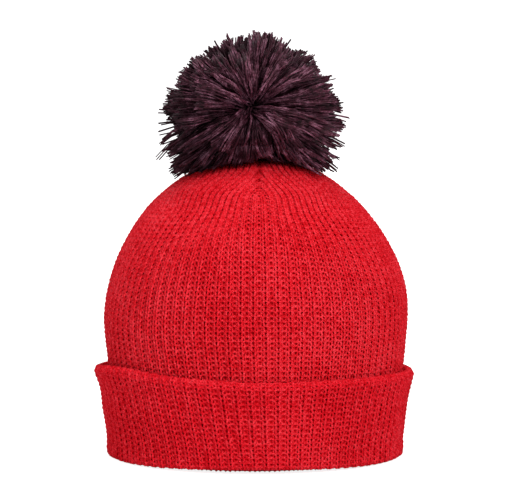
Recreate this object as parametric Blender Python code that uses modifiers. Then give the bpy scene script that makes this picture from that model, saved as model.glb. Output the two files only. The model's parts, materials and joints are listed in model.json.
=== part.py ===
"""Knitted beanie with a turned-up cuff and a yarn pom pom.

Frame: origin at the centre of the bottom edge, +Z up, the front faces -Y and
+X is right.  The hat is a doubled knitted tube.  Its outer half is the shell,
its inner half the lining, and the lower end is turned up outside the shell as
a two-layer cuff.  Four sewn darts close each crown.  The pom pom is a bundle
of yarn tied round its waist; a cord joins it through the crown to a knot
inside.
"""

import math

import bmesh
import bpy
from mathutils import Matrix, Vector

# ----------------------------------------------------------------- dimensions
# All lengths in metres.  A half width is measured left to right.
HALF_WIDTH = 0.0878        # widest half width of the shell
DEPTH_RATIO = 1.114        # front-to-back size over left-to-right size
Z_WIDEST = 0.078           # height of the widest ring
Z_CROWN = 0.1725           # top of the crown
CROWN_RISE = Z_CROWN - Z_WIDEST
CROWN_POWER = 1.85         # 2 is an ellipse, less is more pointed
CROWN_LENGTHEN = 0.42      # the crown is longer front to back than lower rings
LENGTHEN_EASE = 0.06       # fades the lengthening out near the crown's centre
APEX_X = 0.0018            # the crown's centre sits slightly to the right
APEX_POWER = 5             # keeps that shift near the top
BODY_TAPER = 0.0080        # how far the shell draws in below the widest ring
TAPER_POWER = 1.1
HOLE_R = 0.0024            # where the cord passes the crown
NORMAL_STEP = 1e-4         # step in level and azimuth for surface normals

SHELL_THICK = 0.0020       # one layer of rib knit
SEAM_SPACE = 0.0018        # between shell and lining, holds the seam allowances
LINING_THICK = 0.0016
LINING_DEPTH = SHELL_THICK + SEAM_SPACE   # lining's outside below the shell's
LINING_LIFT = 0.0006       # height of the lining's bottom edge

CUFF_TOP = 0.0535          # height of the turned-up cuff
CUFF_ROLL_OVER = 0.0030    # the inner layer ends this far below the top
CUFF_INNER_TOP = CUFF_TOP - CUFF_ROLL_OVER
CUFF_HEIGHTS = [0.0, 0.005, 0.012, 0.026, 0.036, 0.044, CUFF_INNER_TOP]
CUFF_GAP = 0.00045         # shell to cuff
LAYER_GAP = 0.00035        # between the two layers of the cuff
CUFF_IN_THICK = 0.0018
CUFF_OUT_THICK = 0.0019
CUFF_FLARE = 0.0026        # how far the cuff stands out above the flare's span
CUFF_FLARE_FROM = 0.030
CUFF_FLARE_SPAN = 0.022
CUFF_FOLD = 0.0020         # fuller lower fold
CUFF_FOLD_HEIGHT = 0.012
ROLL_INSET = 0.0004        # rolled edge's inside, out from the inner layer's
ROLL_FACETS = 6            # over the half turn of the rolled edge

SEAM_R = 0.00055           # sewn thread chain of a dart
SEAM_INNER_R = 0.0080      # a dart starts this far from the crown's centre
SEAM_OUTER_R = 0.0480      # and ends here
SEAM_SPANS = 8
FRONT_SEAM_TURN = math.radians(2.0)   # front and back darts lean to the right

POM_CENTRE = Vector((-0.0025, 0.0040, 0.2000))
POM_RX, POM_RY, POM_RZ = 0.0520, 0.0500, 0.0460
POM_WAIST_R = 0.0100       # strand bundle inside the tie
POM_GROOVE = 0.0044        # slot between the two halves of the bundle
SLOT_REACH = 1.3           # slot cutter's radius over the pom pom's
TIE_R = 0.0116             # tie's ring radius
TIE_CORD_R = 0.0012
TIE_CLEAR = 0.0004         # tie to the top of the tether cord
TETHER_R = 0.0010
KNOT_R = 0.0030
KNOT_CORD_R = 0.0016
KNOT_CLEAR = 0.0016        # lining to knot

# The cord bends at the sway pivot, inside the crown's layers.
SWAY_PIVOT = Vector((APEX_X, 0.0, 0.1697))
CORD_TOP = POM_CENTRE - Vector((0.0, 0.0, TIE_R + TIE_CORD_R + TIE_CLEAR))
TETHER_STRAIGHT = (-0.0145, -0.006, 0.0040)   # upright part, from the sway pivot
TETHER_BENDS = 4           # segments from there to the cord's top
SWAY_MAX = math.radians(12.0)
NOD_MAX = math.radians(12.0)
TILT_CLEAR = math.radians(1.5)

UNDERSIDE_REACH = 0.80     # underside cutter's radius over the half width
UNDERSIDE_RINGS = 8
UNDERSIDE_STEPS = 32
UNDERSIDE_LIFT = 0.0020    # above the crown's top
UNDERSIDE_DROP = 0.060     # cutter's foot below the crown's top
MOUTH_R = 0.0022           # at the top
MOUTH_ANGLE = math.radians(40.0)
MOUTH_FOOT = 0.006         # below the crown's top
MOUTH_OVERCUT = 0.0006     # above the cord's top

STEPS = 40                 # facets round the hat
CROWN_RINGS = 11
BODY_RINGS = 4


# -------------------------------------------------------------- hat's profile
def body_radius(z):
    """Half width of the shell's outside at height z, below the widest ring."""
    drop = (Z_WIDEST - z) / Z_WIDEST
    return HALF_WIDTH - BODY_TAPER * drop ** TAPER_POWER


def length_ratio(width):
    """Front-to-back over left-to-right size at a width of 0 to 1 on the crown."""
    ease = (1.0 + LENGTHEN_EASE) * width / (width + LENGTHEN_EASE)
    return DEPTH_RATIO + CROWN_LENGTHEN * (1.0 - width * width) * ease


def shell_point(level, azimuth):
    """A point of the shell's outside.

    level runs from 1 at the cord hole to 0 at the widest ring (crown), then
    down to -1 at the bottom edge.  azimuth turns from +X towards +Y.
    """
    if level >= 0.0:
        width = math.cos(level * math.acos(HOLE_R / HALF_WIDTH))
        radius = HALF_WIDTH * width
        rise = (1.0 - width * width) ** (1.0 / CROWN_POWER)
        z = Z_WIDEST + CROWN_RISE * rise
        shift = APEX_X * rise ** APEX_POWER
        ratio = length_ratio(width)
    else:
        z = Z_WIDEST * (1.0 + level)
        radius = body_radius(z)
        shift = 0.0
        ratio = DEPTH_RATIO
    return Vector((radius * math.cos(azimuth) + shift,
                   radius * ratio * math.sin(azimuth), z))


def shell_normal(level, azimuth):
    """Outward normal of the shell's outside."""
    up = (shell_point(min(level + NORMAL_STEP, 1.0), azimuth)
          - shell_point(max(level - NORMAL_STEP, -1.0), azimuth))
    along = (shell_point(level, azimuth + NORMAL_STEP)
             - shell_point(level, azimuth - NORMAL_STEP))
    return along.cross(up).normalized()


def inside(level, azimuth, depth):
    """The point depth below the shell's outside."""
    surface = shell_point(level, azimuth)
    point = surface - shell_normal(level, azimuth) * depth
    if level >= 1.0:       # the edge of the cord hole stays upright
        point.xy = surface.xy
    return point


def level_at(radius):
    """The level of the crown ring of this half width."""
    return math.acos(radius / HALF_WIDTH) / math.acos(HOLE_R / HALF_WIDTH)


def cuff_offset(z):
    """How far the cuff stands out from the shell at height z."""
    flare = max(z - CUFF_FLARE_FROM, 0.0) / CUFF_FLARE_SPAN
    fold = max(CUFF_FOLD_HEIGHT - z, 0.0) / CUFF_FOLD_HEIGHT
    return CUFF_GAP + CUFF_FLARE * flare * flare + CUFF_FOLD * fold * fold


# -------------------------------------------------------------------- helpers
def material(name, colour, roughness, sheen):
    mat = bpy.data.materials.new(name)
    mat.use_nodes = True
    inputs = mat.node_tree.nodes["Principled BSDF"].inputs
    inputs["Base Color"].default_value = (*colour, 1.0)
    inputs["Roughness"].default_value = roughness
    inputs["Sheen Weight"].default_value = sheen
    return mat


def knit_material(name, colour, roughness):
    return material(name, colour, roughness, sheen=0.3)


def cord_material(name, colour):
    return material(name, colour, roughness=0.8, sheen=0.1)


def new_collection(name):
    collection = bpy.data.collections.new(name)
    bpy.context.scene.collection.children.link(collection)
    return collection


def add_object(name, data, collection):
    ob = bpy.data.objects.new(name, data)
    collection.objects.link(ob)
    return ob


def adopt_primitive(name, collection):
    """Names the primitive just added and moves it into collection."""
    ob = bpy.context.object
    ob.name = name
    ob.data.name = name
    for old in list(ob.users_collection):
        old.objects.unlink(ob)
    collection.objects.link(ob)
    return ob


def add_mesh(name, bm, collection):
    mesh = bpy.data.meshes.new(name)
    bm.to_mesh(mesh)
    bm.free()
    return add_object(name, mesh, collection)


def lathe(name, outline, steps, collection):
    """A closed outline of (radius, z) points turned round Z."""
    bm = bmesh.new()
    verts = [bm.verts.new((radius, 0.0, z)) for radius, z in outline]
    for start, end in zip(verts, verts[1:] + verts[:1]):
        bm.edges.new((start, end))
    ob = add_mesh(name, bm, collection)
    screw = ob.modifiers.new("Turn", "SCREW")
    screw.axis = "Z"
    screw.angle = 2.0 * math.pi
    screw.steps = steps
    screw.render_steps = steps
    screw.use_merge_vertices = True
    screw.merge_threshold = 0.00001
    return ob


def loft(name, rings, collection, closed):
    """Skins equal rings of points.

    A closed loft's last ring joins its first; an open one is capped with a fan
    at both ends.
    """
    bm = bmesh.new()
    rows = [[bm.verts.new(point) for point in points] for points in rings]
    next_rows = rows[1:] + (rows[:1] if closed else [])
    for row, following in zip(rows, next_rows):
        for i in range(len(row)):
            j = (i + 1) % len(row)
            bm.faces.new((row[i], row[j], following[j], following[i]))
    if not closed:
        for row in (rows[0], rows[-1]):
            total = sum((vert.co for vert in row), Vector((0.0, 0.0, 0.0)))
            tip = bm.verts.new(total / len(row))
            for i in range(len(row)):
                bm.faces.new((row[i], row[(i + 1) % len(row)], tip))
    bmesh.ops.recalc_face_normals(bm, faces=bm.faces)
    ob = add_mesh(name, bm, collection)
    ob.data.shade_smooth()
    return ob


def cord(name, points, radius, mat, collection):
    """A round cord along points, with filled ends."""
    curve = bpy.data.curves.new(name, "CURVE")
    curve.dimensions = "3D"
    curve.bevel_depth = radius
    curve.bevel_resolution = 1
    curve.use_fill_caps = True
    curve.resolution_u = 2
    spline = curve.splines.new("POLY")
    spline.points.add(len(points) - 1)
    for spline_point, place in zip(spline.points, points):
        spline_point.co = (*place, 1.0)
    curve.materials.append(mat)
    return add_object(name, curve, collection)


def torus(name, major, minor, around, centre, mat, collection):
    """A flat-lying ring of round cord."""
    bpy.ops.mesh.primitive_torus_add(major_radius=major, minor_radius=minor,
                                     major_segments=around, minor_segments=6)
    ob = adopt_primitive(name, collection)
    ob.data.materials.append(mat)
    ob.data.shade_smooth()
    ob.location = centre
    return ob


def empty(name, location, collection):
    pivot = add_object(name, None, collection)
    pivot.empty_display_size = 0.01
    pivot.location = location
    return pivot


def hang(child, parent):
    """Parents child, keeping its place."""
    place = Vector((0.0, 0.0, 0.0))
    ancestor = parent
    while ancestor is not None:
        place += ancestor.location
        ancestor = ancestor.parent
    child.parent = parent
    child.matrix_parent_inverse = Matrix.Translation(-place)


def cut(ob, cutter):
    """Subtracts cutter from ob and hides it from renders."""
    cutter.hide_render = True
    cutter.display_type = "WIRE"
    boolean = ob.modifiers.new("Cut", "BOOLEAN")
    boolean.operation = "DIFFERENCE"
    boolean.solver = "EXACT"
    boolean.object = cutter


# ------------------------------------------------------------------------ hat
def build_layer(name, depth, thickness, bottom, mat, parts):
    """One knitted layer of the hat, its outside depth below the shell's."""
    levels = [1.0 - i / CROWN_RINGS for i in range(CROWN_RINGS)]
    levels += [-i / BODY_RINGS for i in range(BODY_RINGS + 1)]
    rings = []
    for face_depth, order in ((depth, levels), (depth + thickness, levels[::-1])):
        for level in order:
            points = [inside(level, 2.0 * math.pi * k / STEPS, face_depth)
                      for k in range(STEPS)]
            if level <= -1.0:
                for point in points:
                    point.z = bottom
            rings.append(points)
    loft(name, rings, parts, closed=True).data.materials.append(mat)


def build_seams(parts):
    """Dart seams on the crown, between shell and lining."""
    thread = cord_material("seam_thread_red", (0.42, 0.008, 0.014))
    quarter = math.pi / 2.0
    azimuths = {
        "dart_seam_right": 0.0,
        "dart_seam_back": quarter - FRONT_SEAM_TURN,
        "dart_seam_left": 2.0 * quarter,
        "dart_seam_front": 3.0 * quarter + FRONT_SEAM_TURN,
    }
    for i, letter in enumerate("abcd"):
        azimuths[f"lining_seam_{letter}"] = (i + 0.5) * quarter
    levels = [level_at(SEAM_INNER_R + (SEAM_OUTER_R - SEAM_INNER_R) * i / SEAM_SPANS)
              for i in range(SEAM_SPANS + 1)]
    for name, azimuth in azimuths.items():
        points = [inside(level, azimuth, SHELL_THICK + SEAM_SPACE / 2.0)
                  for level in levels]
        cord(name, points, SEAM_R, thread, parts)


def build_cuff(parts):
    """Two layers round the shell; the outer one rolls over the top."""
    slide = empty("cuff_slide", (0.0, 0.0, 0.0), parts)

    # Each face runs from the bottom up, as (radius, z).
    inner_in = [(body_radius(z) + cuff_offset(z), z) for z in CUFF_HEIGHTS]
    inner_out = [(radius + CUFF_IN_THICK, z) for radius, z in inner_in]
    roll_z = CUFF_INNER_TOP + LAYER_GAP
    outer_in = [(radius + LAYER_GAP, z) for radius, z in inner_out]
    outer_in[-1] = (outer_in[-1][0], roll_z)
    outer_out = [(radius + CUFF_OUT_THICK, z) for radius, z in outer_in]

    # The rolled edge, from its inside to its outside.
    roll_in = inner_in[-1][0] + ROLL_INSET
    roll_out = outer_out[-1][0]
    roll_mid = (roll_in + roll_out) / 2.0
    roll_half = (roll_out - roll_in) / 2.0
    roll = [(roll_in, roll_z)]
    for i in range(ROLL_FACETS - 1, 0, -1):
        angle = math.pi * i / ROLL_FACETS
        roll.append((roll_mid + roll_half * math.cos(angle),
                     roll_z + (CUFF_TOP - roll_z) * math.sin(angle)))

    for name, outline, mat in (
            ("cuff_inner_layer", inner_out[::-1] + inner_in,
             knit_material("cuff_inside_red", (0.55, 0.012, 0.020), roughness=0.92)),
            ("cuff_outer_layer", roll + outer_out[::-1] + outer_in,
             knit_material("cuff_knit_red", (0.62, 0.014, 0.022), roughness=0.9))):
        ob = lathe(name, outline, STEPS, parts)
        ob.data.materials.append(mat)
        ob.scale = (1.0, DEPTH_RATIO, 1.0)
        hang(ob, slide)


# -------------------------------------------------------------------- pom pom
def build_tether(sway, parts):
    """Cord through the crown, upright and then easing over to the tie."""
    path = [SWAY_PIVOT + Vector((0.0, 0.0, z)) for z in TETHER_STRAIGHT]
    low = path[-1]
    for i in range(1, TETHER_BENDS + 1):
        part = i / TETHER_BENDS
        point = low.lerp(CORD_TOP, part * part * (3.0 - 2.0 * part))
        point.z = low.z + (CORD_TOP.z - low.z) * part
        path.append(point)
    mat = cord_material("tether_cord_dark", (0.030, 0.011, 0.017))
    hang(cord("tether_cord", path, TETHER_R, mat, parts), sway)


def build_knot(sway, parts):
    """Knot under the lining's crown."""
    z = Z_CROWN - LINING_DEPTH - LINING_THICK - KNOT_CLEAR - KNOT_CORD_R
    mat = cord_material("knot_dark", (0.028, 0.010, 0.016))
    knot = torus("anchor_knot", KNOT_R, KNOT_CORD_R, 16, (APEX_X, 0.0, z), mat, parts)
    hang(knot, sway)


def build_tie(nod, parts):
    """Tie round the bundle's waist, in the plane that faces front."""
    mat = cord_material("tie_cord_dark", (0.030, 0.011, 0.017))
    tie = torus("pom_binding", TIE_R, TIE_CORD_R, 24, POM_CENTRE, mat, parts)
    tie.data.transform(Matrix.Rotation(math.pi / 2.0, 4, "X"))
    hang(tie, nod)


def slot_cutter(cutters):
    """A flat annulus in the tie's plane, reaching outside the bundle."""
    reach = POM_RX * SLOT_REACH
    half = POM_GROOVE / 2.0
    outline = [(POM_WAIST_R, half), (reach, half), (reach, -half), (POM_WAIST_R, -half)]
    slot = lathe("slot_cutter", outline, 32, cutters)
    slot.location = POM_CENTRE
    slot.rotation_euler = (math.pi / 2.0, 0.0, 0.0)
    return slot


def underside_cutter(cutters):
    """The crown's own shape, tipped up by the largest combined tilt."""
    tilt = math.hypot(SWAY_MAX, NOD_MAX) + TILT_CLEAR
    apex = Vector((APEX_X, 0.0, Z_CROWN))
    lifted_apex = apex + Vector((0.0, 0.0, UNDERSIDE_LIFT))
    rings = []
    for i in range(1, UNDERSIDE_RINGS + 1):
        level = level_at(HALF_WIDTH * UNDERSIDE_REACH * i / UNDERSIDE_RINGS)
        points = []
        for k in range(UNDERSIDE_STEPS):
            arm = shell_point(level, 2.0 * math.pi * k / UNDERSIDE_STEPS) - apex
            heading = math.atan2(arm.y, arm.x)
            pitch = math.atan2(arm.z, math.hypot(arm.x, arm.y)) + tilt
            points.append(lifted_apex + arm.length * Vector((
                math.cos(pitch) * math.cos(heading),
                math.cos(pitch) * math.sin(heading),
                math.sin(pitch))))
        rings.append(points)
    foot = Z_CROWN - UNDERSIDE_DROP
    rings.append([Vector((point.x, point.y, foot)) for point in rings[-1]])
    return loft("underside_cutter", rings, cutters, closed=False)


def mouth_cutter(cutters):
    """A cone round the cord, wide enough for the nod."""
    height = CORD_TOP.z - (Z_CROWN - MOUTH_FOOT)
    bpy.ops.mesh.primitive_cone_add(
        vertices=24,
        radius1=height * math.tan(MOUTH_ANGLE) + MOUTH_R,
        radius2=MOUTH_R,
        depth=height + MOUTH_OVERCUT,
        location=(CORD_TOP.x, CORD_TOP.y, CORD_TOP.z - (height - MOUTH_OVERCUT) / 2.0))
    return adopt_primitive("mouth_cutter", cutters)


def build_yarn(nod, parts, cutters):
    """Strand bundle: a full round mass, slotted to its waist for the tie."""
    bpy.ops.mesh.primitive_uv_sphere_add(segments=28, ring_count=14, radius=1.0)
    pom = adopt_primitive("pom_yarn", parts)
    pom.data.transform(Matrix.Diagonal((POM_RX, POM_RY, POM_RZ, 1.0)))
    pom.data.materials.append(
        knit_material("pom_yarn_aubergine", (0.046, 0.015, 0.024), roughness=0.85))
    pom.data.shade_smooth()
    pom.location = POM_CENTRE
    for make_cutter in (slot_cutter, underside_cutter, mouth_cutter):
        cut(pom, make_cutter(cutters))
    hang(pom, nod)


# ---------------------------------------------------------------------- build
def main():
    for ob in list(bpy.data.objects):
        bpy.data.objects.remove(ob, do_unlink=True)
    parts = new_collection("pom_pom_beanie")
    cutters = new_collection("cutters")

    shell_red = knit_material("rib_knit_red", (0.66, 0.016, 0.024), roughness=0.9)
    lining_red = knit_material("lining_knit_red", (0.55, 0.012, 0.020), roughness=0.92)
    build_layer("outer_shell", 0.0, SHELL_THICK, 0.0, shell_red, parts)
    build_layer("inner_lining", LINING_DEPTH, LINING_THICK, LINING_LIFT,
                lining_red, parts)
    build_seams(parts)
    build_cuff(parts)

    # The nod pivot sits at the cord's top and is carried by the sway pivot.
    sway = empty("pom_sway_pivot", SWAY_PIVOT, parts)
    nod = empty("pom_nod_pivot", CORD_TOP - SWAY_PIVOT, parts)
    nod.parent = sway
    build_tether(sway, parts)
    build_knot(sway, parts)
    build_tie(nod, parts)
    build_yarn(nod, parts, cutters)


main()
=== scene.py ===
"""A red rib-knit hat with a turned-up cuff and an aubergine pom pom, on a pale floor.

Metres. The opening lies at z = 0 and the crown points to +Z. The front faces -Y, and
right means +X, as seen from the front. Azimuths run anticlockwise from +X.
"""
import json
import math

import bpy
import numpy as np
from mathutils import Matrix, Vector

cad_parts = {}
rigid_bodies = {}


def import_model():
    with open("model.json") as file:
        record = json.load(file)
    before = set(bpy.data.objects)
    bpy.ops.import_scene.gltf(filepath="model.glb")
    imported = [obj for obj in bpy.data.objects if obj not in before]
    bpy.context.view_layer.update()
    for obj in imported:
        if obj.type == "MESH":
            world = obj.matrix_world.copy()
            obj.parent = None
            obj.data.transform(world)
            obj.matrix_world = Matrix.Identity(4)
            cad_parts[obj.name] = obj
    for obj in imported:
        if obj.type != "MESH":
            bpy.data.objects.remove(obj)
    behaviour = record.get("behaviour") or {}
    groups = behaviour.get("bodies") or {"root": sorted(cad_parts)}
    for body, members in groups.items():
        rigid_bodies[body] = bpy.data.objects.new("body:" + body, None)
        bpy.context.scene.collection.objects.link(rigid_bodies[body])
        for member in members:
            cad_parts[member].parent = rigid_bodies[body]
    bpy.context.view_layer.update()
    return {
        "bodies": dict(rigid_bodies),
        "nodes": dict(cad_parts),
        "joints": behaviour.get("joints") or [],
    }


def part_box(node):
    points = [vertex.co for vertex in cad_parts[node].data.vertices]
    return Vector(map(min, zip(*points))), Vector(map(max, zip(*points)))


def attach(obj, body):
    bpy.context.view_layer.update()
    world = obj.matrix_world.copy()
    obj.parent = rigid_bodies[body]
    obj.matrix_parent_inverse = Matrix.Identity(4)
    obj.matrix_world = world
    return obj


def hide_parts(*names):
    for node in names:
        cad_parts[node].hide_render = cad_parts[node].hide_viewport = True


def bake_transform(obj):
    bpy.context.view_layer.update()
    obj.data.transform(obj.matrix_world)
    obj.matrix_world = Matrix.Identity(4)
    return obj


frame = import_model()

TAU = 2.0 * math.pi

# ---- Sizes taken from the frame ----
shell_low, shell_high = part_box("outer_shell")
pom_low, pom_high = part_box("pom_yarn")
CUFF_TOP = float(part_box("cuff_outer_layer")[1].z)


def node_points(name):
    return np.array([v.co for v in frame["nodes"][name].data.vertices])


shell_points = node_points("outer_shell")
HALF_X = float(shell_high.x - shell_low.x) / 2.0
DEPTH_RATIO = float(shell_high.y - shell_low.y) / float(shell_high.x - shell_low.x)
WIDE_Z = float(shell_points[np.argmax(shell_points[:, 0]), 2])
TOP_Z = float(shell_high.z)
APEX_X = float({j["name"]: j for j in frame["joints"]}["pom_sway"]["pos_m"][0])
HOLE_RADIUS = 0.0024
CROWN_POWER = 1.85
CROWN_DEEPEN = 0.42       # how much deeper than wide the rings grow up the crown
LOW_TAPER = 0.0080        # narrowing from the widest level down to z = 0

# depths below the shell's outside
BACKING_DEPTH = 0.0020
BACKING_THICKNESS = 0.0003
LINING_OUT = 0.0038
LINING_IN = 0.0050

# the knit
REPEATS = 84              # one knit wale and one purl wale each
QUARTER = REPEATS // 4
STITCH_POINTS = 8
YARN_SIDES = 5
ROW_PITCH = 0.00292       # on the front
COURSES_PER_MESH = 13
YARN_OPEN = 0.00073       # yarn radius in stretched rib
YARN_CLOSED = 0.00094     # and where the rib closes up
DART_TURN = math.radians(1.35)  # the front dart line sits a little to the right
CLOSED = 0.73             # a wale's closest spacing over its widest
FRONT_FROM = 3.4          # wales a quarter loses to the side dart first


# ---- Numeric helpers ----
def smooth(x, start, end):
    t = np.clip((x - start) / (end - start), 0.0, 1.0)
    return t * t * (3.0 - 2.0 * t)


def positive(x, rounding):
    """x above 0 and 0 below, rounded over about the given distance."""
    return 0.5 * (x + np.sqrt(x * x + rounding * rounding))


def unit(v):
    return v / np.maximum(np.linalg.norm(v, axis=-1, keepdims=True), 1e-12)


def running_length(points):
    """Distance covered along each row of points."""
    steps = np.linalg.norm(np.diff(points, axis=-2), axis=-1)
    return np.concatenate([np.zeros(steps.shape[:-1] + (1,)), np.cumsum(steps, -1)], -1)


def running_sum(values):
    """Trapezoid sum of values, for a step of 1."""
    return np.concatenate([[0.0], np.cumsum((values[1:] + values[:-1]) * 0.5)])


def grid_lookup(table, x, y):
    """Bilinear lookup in table, x and y in index units."""
    nx, ny = table.shape
    x = np.clip(x, 0.0, nx - 1.000001)
    y = np.clip(y, 0.0, ny - 1.000001)
    i, j = x.astype(int), y.astype(int)
    fx, fy = x - i, y - j
    return (table[i, j] * (1 - fx) * (1 - fy) + table[i + 1, j] * fx * (1 - fy)
            + table[i, j + 1] * (1 - fx) * fy + table[i + 1, j + 1] * fx * fy)


def periodic_noise(rng, rows, cols, keep_rows, keep_cols):
    """Smooth noise on a grid that closes along its columns, about -1 to 1."""
    waves = np.fft.fft2(rng.standard_normal((rows, cols)))
    row_wave = np.fft.fftfreq(rows)[:, None] * rows
    col_wave = np.fft.fftfreq(cols)[None, :] * cols
    waves *= np.exp(-(row_wave / keep_rows) ** 2 - (col_wave / keep_cols) ** 2)
    noise = np.real(np.fft.ifft2(waves))
    return noise / (np.abs(noise).max() + 1e-9)


NOISE_COLS = 128


def noise_column(azimuth):
    return (azimuth % TAU) / TAU * (NOISE_COLS - 1)


def wrap_fade(column, width):
    """Fades noise out where its columns wrap round."""
    return smooth(column, 0.0, width) * smooth(NOISE_COLS - 1.0 - column, 0.0, width)


# ---- The shell's surface ----
# A level is -1 at z = 0, 0 at the widest ring and 1 at the hole in the crown's top.
def low_radius(z):
    drop = np.clip((WIDE_Z - z) / WIDE_Z, 0.0, 1.2)
    return HALF_X - LOW_TAPER * drop ** 1.1


def crown_z(radius):
    share = np.clip(radius / HALF_X, 0.0, 1.0)
    return WIDE_Z + (TOP_Z - WIDE_Z) * (1.0 - share * share) ** (1.0 / CROWN_POWER)


def crown_ratio(radius):
    """Depth over width of the crown's ring."""
    share = np.clip(radius / HALF_X, 0.0, 1.0)
    return DEPTH_RATIO + CROWN_DEEPEN * (1.0 - share * share) * (1.06 * share / (share + 0.06))


HOLE_ANGLE = math.acos(HOLE_RADIUS / HALF_X)


def level_radius(level):
    crown = HALF_X * np.cos(np.clip(level, 0.0, 1.0) * HOLE_ANGLE)
    return np.where(level >= 0.0, crown, low_radius(WIDE_Z * (1.0 + np.minimum(level, 0.0))))


def level_z(level):
    return np.where(level >= 0.0, crown_z(level_radius(np.maximum(level, 0.0))),
                    WIDE_Z * (1.0 + np.minimum(level, 0.0)))


def level_ratio(level):
    return np.where(level >= 0.0, crown_ratio(level_radius(level)), DEPTH_RATIO)


soft_rng = np.random.default_rng(41)
SOFT = periodic_noise(soft_rng, 64, NOISE_COLS, 2.2, 3.2)
SOFT_FINE = periodic_noise(soft_rng, 64, NOISE_COLS, 5.0, 9.0)


def unevenness(level, azimuth):
    """Soft unevenness of a hand-finished hat, along the normal."""
    row = (np.clip(level, -1.0, 1.0) + 1.0) * 0.5 * 62.0
    column = noise_column(azimuth)
    fade = smooth(1.0 - level, 0.02, 0.3) * wrap_fade(column, 5.0)
    return (0.00075 * grid_lookup(SOFT, row, column)
            + 0.00022 * grid_lookup(SOFT_FINE, row, column)) * fade


# the right side's outline: z, shift in x
RIGHT_SHIFT = np.array([
    (0.000, 0.0), (0.080, 0.0), (0.088, 0.0007), (0.098, 0.0013), (0.109, 0.0013),
    (0.115, 0.0011), (0.122, 0.0008), (0.131, 0.0002), (0.137, -0.0004), (0.148, -0.0010),
    (0.152, -0.0015), (0.160, -0.0018), (0.180, 0.0)])


def shell_surface(level, azimuth):
    radius = level_radius(level)
    z = level_z(level)
    climb = np.clip((z - WIDE_Z) / (TOP_Z - WIDE_Z), 0.0, 1.0)
    cosine = np.cos(azimuth)
    x = radius * cosine + APEX_X * climb ** 5
    x = x + np.interp(z, *RIGHT_SHIFT.T) * np.clip(cosine, 0.0, 1.0) ** 1.5
    y = radius * level_ratio(level) * np.sin(azimuth)
    return np.stack([x, y, z], -1)


def shell_frame(level, azimuth):
    """Point with the soft unevenness in, and outward normal."""
    h = 2e-3
    point = shell_surface(level, azimuth)
    up = (shell_surface(np.minimum(level + h, 1.0), azimuth)
          - shell_surface(np.maximum(level - h, -1.0), azimuth))
    around = shell_surface(level, azimuth + h) - shell_surface(level, azimuth - h)
    normal = unit(np.cross(around, up))
    return point + normal * unevenness(level, azimuth)[..., None], normal


# the level at equal shares of each meridian's length
MERIDIANS, MERIDIAN_STEPS = 144, 420
levels = np.linspace(-1.0, 1.0, 900)
meridian_length = running_length(
    shell_surface(*np.meshgrid(levels, np.linspace(0.0, TAU, MERIDIANS + 1))))
LEVEL_AT = np.stack([np.interp(np.linspace(0.0, 1.0, MERIDIAN_STEPS), length / length[-1], levels)
                     for length in meridian_length])
FRONT_LENGTH = float(meridian_length[MERIDIANS * 3 // 4, -1])


def level_of(height, azimuth):
    """Level at a share of the meridian's length."""
    return grid_lookup(LEVEL_AT, (azimuth % TAU) / TAU * MERIDIANS,
                       np.clip(height, 0.0, 1.0) * (MERIDIAN_STEPS - 1))


# angle from the Y axis of an ellipse at a share of its quarter's arc, by depth over width
RATIO_MIN, RATIO_MAX, RATIO_STEPS, ARC_STEPS = 1.0, 1.7, 36, 129
RATIOS = np.linspace(RATIO_MIN, RATIO_MAX, RATIO_STEPS)
ANGLE_AT = np.zeros((RATIO_STEPS, ARC_STEPS))
GIRTH_AT = np.zeros(RATIO_STEPS)
angles = np.linspace(0.0, math.pi / 2.0, 400)
for i, ratio in enumerate(RATIOS):
    arc = running_sum(np.sqrt(np.cos(angles) ** 2 + (ratio * np.sin(angles)) ** 2))
    ANGLE_AT[i] = np.interp(np.linspace(0.0, 1.0, ARC_STEPS), arc / arc[-1], angles)
    GIRTH_AT[i] = 4.0 * arc[-1] * (angles[1] - angles[0])


def ring_angle(ratio, share):
    return grid_lookup(ANGLE_AT, (ratio - RATIO_MIN) / (RATIO_MAX - RATIO_MIN) * (RATIO_STEPS - 1),
                       np.clip(share, 0.0, 1.0) * (ARC_STEPS - 1))


def ring_length(radius, ratio):
    return radius * np.interp(ratio, RATIOS, GIRTH_AT)


WIDEST_GIRTH = float(ring_length(HALF_X, DEPTH_RATIO))

# ---- Laying the wales ----
# Wales count from the front's middle, round by the right side and the back.
QUARTER_WALES = np.linspace(0.0, QUARTER, 211)


def spread_table(amount, width):
    """Wales spread at the middle of the front and back: their places and spacings."""
    spacing = 1.0 + amount * np.exp(-(QUARTER_WALES / width) ** 2)
    place = running_sum(spacing)
    return place / place[-1] * QUARTER, spacing / spacing.mean()


SPREAD_LOW = spread_table(0.10, 2.3)
SPREAD_HIGH = spread_table(0.34, 3.4)


def from_table(wale, column):
    return np.interp(wale, QUARTER_WALES, column)


def fold_wale(wale):
    """Wales from the nearer of front and back middle, and which quarter that is."""
    wale = wale % REPEATS
    quarter = np.minimum((wale // QUARTER).astype(int), 3)
    folded = np.select([quarter == 0, quarter == 1, quarter == 2],
                       [wale, 2 * QUARTER - wale, wale - 2 * QUARTER], 4 * QUARTER - wale)
    return folded, quarter <= 1, (quarter == 0) | (quarter == 3)


def to_azimuth(angle, right, front):
    x = np.where(right, 1.0, -1.0) * np.sin(angle)
    y = np.where(front, -1.0, 1.0) * np.cos(angle)
    azimuth = np.arctan2(y, x)
    return azimuth - DART_TURN * np.sin(azimuth)


def off_middle(azimuth):
    return np.sin(2.0 * (azimuth + math.pi / 2.0))


def lean(azimuth, fan, back_share, tilt):
    """How strongly wales fan out from the middles, and tilt across the front."""
    return (fan * off_middle(azimuth) * np.where(np.sin(azimuth) < 0.0, 1.0, back_share)
            - tilt * np.clip(-np.sin(azimuth), 0.0, 1.0))


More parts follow.
